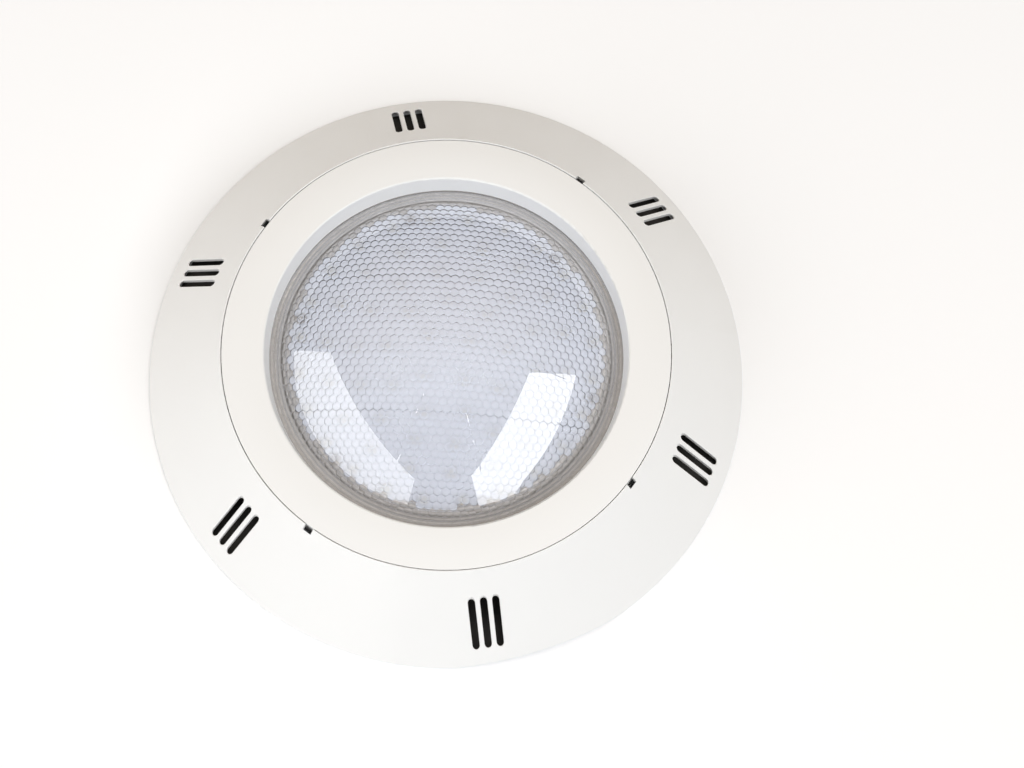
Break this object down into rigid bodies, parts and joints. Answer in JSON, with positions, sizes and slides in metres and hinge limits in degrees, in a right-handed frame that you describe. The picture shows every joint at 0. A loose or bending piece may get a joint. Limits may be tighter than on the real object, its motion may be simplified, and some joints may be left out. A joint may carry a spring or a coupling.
{
  "type": "underwater pool light",
  "caption": "Surface-mounted round underwater pool light: wall plate, sealed LED lamp with a domed honeycomb lens and crowned bezel, and a slotted conical clip-on face ring.",
  "frame": {"origin": "middle of the light on the wall plane, which is the lowest plane of the part", "axes": "+Z out of the wall along the light's axis; +X from the middle towards the cable gland; +Y completes a right-handed frame"},
  "size_m": [0.29, 0.2894, 0.0628],
  "materials": {
    "white_abs": "smooth glossy white ABS",
    "rear_abs": "satin white ABS",
    "bracket_abs": "matt dark grey ABS",
    "clear_lens": "clear polycarbonate, honeycomb prisms inside",
    "seal_rubber": "matt black silicone rubber",
    "pale_rubber": "milky silicone rubber",
    "stainless": "satin stainless steel",
    "brass": "turned brass",
    "aluminium": "plain rolled sheet",
    "board_white": "white solder mask with a blue cast",
    "board_green": "green solder mask",
    "led_body": "white LED package",
    "led_phosphor": "pale yellow resin",
    "chip_black": "black moulded epoxy",
    "capacitor_sleeve": "dark shrink sleeve",
    "ferrite": "enamelled copper wire on a ferrite ring",
    "connector_nylon": "green nylon",
    "gland_nylon": "white nylon"
  },
  "bodies": {
    "wall_bracket": {"wall_plate": "bracket_abs", "wall_gasket": "seal_rubber", "threaded_inserts": "brass"},
    "lamp_unit": {"rear_shell": "rear_abs", "bezel": "white_abs", "shell_seal": "seal_rubber", "bezel_screws": "stainless", "lens": "clear_lens", "lens_gasket": "pale_rubber", "heat_spreader": "aluminium", "led_board": "board_white", "spreader_screws": "stainless", "led_emitters": "led_body", "led_windows": "led_phosphor", "driver_board": "board_green", "board_standoffs": "brass", "driver_screws": "stainless", "capacitors": "capacitor_sleeve", "inductors": "ferrite", "driver_chips": "chip_black", "bridge_rectifier": "chip_black", "radio_module": "stainless", "radio_antenna": "brass", "terminal_block": "connector_nylon", "board_connector": "chip_black", "gland_body": "gland_nylon", "gland_cap": "gland_nylon", "gland_seal": "seal_rubber", "gland_oring": "seal_rubber", "gland_locknut": "gland_nylon", "captive_washers": "seal_rubber", "captive_screws": "stainless", "ring_clips": "stainless", "clip_screws": "stainless"},
    "face_ring": {"face_ring": "white_abs"}
  },
  "joints": [
    {"name": "lamp_lift", "type": "slide", "parent": "wall_bracket", "child": "lamp_unit", "axis": [0, 0, 1], "range_m": [0, 0.075]},
    {"name": "ring_lift", "type": "slide", "parent": "lamp_unit", "child": "face_ring", "axis": [0, 0, 1], "range_m": [0, 0.075]}
  ]
}
